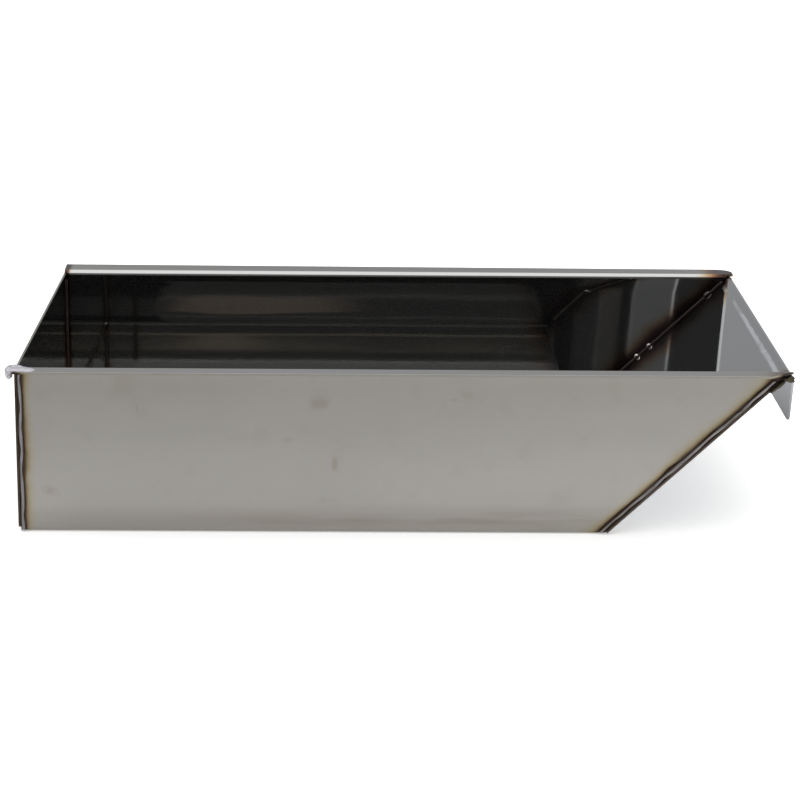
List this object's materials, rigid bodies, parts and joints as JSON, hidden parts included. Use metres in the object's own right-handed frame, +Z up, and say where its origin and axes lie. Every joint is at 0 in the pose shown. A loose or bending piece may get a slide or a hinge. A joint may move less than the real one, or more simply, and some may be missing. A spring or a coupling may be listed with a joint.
{
  "type": "developing tray",
  "caption": "Long rectangular stainless sheet tray with rim flanges, an upright end, and a sloped end whose top folds down into a hook; corners are welded.",
  "frame": {"origin": "on the standing surface, under the centre of the bounding box", "axes": "+X to the sloped end and its hook, +Z up; the front long wall is on the -Y side"},
  "size_m": [0.4043, 0.2544, 0.0896],
  "materials": {
    "satin_steel": "satin mill finish outside, near-mirror inside",
    "polished_steel": "polished",
    "weld_metal": "rippled weld metal with dark oxide and straw to brown heat tint beside it",
    "bright_weld": "bright, lumpy weld metal"
  },
  "bodies": {
    "root": {"body_channel": "satin_steel", "upright_end_plate": "satin_steel", "sloped_end_plate": "polished_steel", "upright_corner_weld_front": "weld_metal", "slope_corner_weld_front": "weld_metal", "hook_corner_weld_front": "weld_metal", "upright_root_bead_front": "weld_metal", "slope_root_bead_front": "weld_metal", "upright_corner_weld_rear": "weld_metal", "slope_corner_weld_rear": "weld_metal", "hook_corner_weld_rear": "weld_metal", "upright_root_bead_rear": "weld_metal", "slope_root_bead_rear": "weld_metal", "upright_floor_weld": "weld_metal", "slope_floor_weld": "weld_metal", "tack_weld_rear_1": "bright_weld", "tack_weld_rear_2": "bright_weld", "tack_weld_rear_3": "bright_weld", "tack_weld_front_1": "bright_weld", "tack_weld_front_2": "bright_weld", "rim_corner_weld": "bright_weld"}
  },
  "joints": []
}
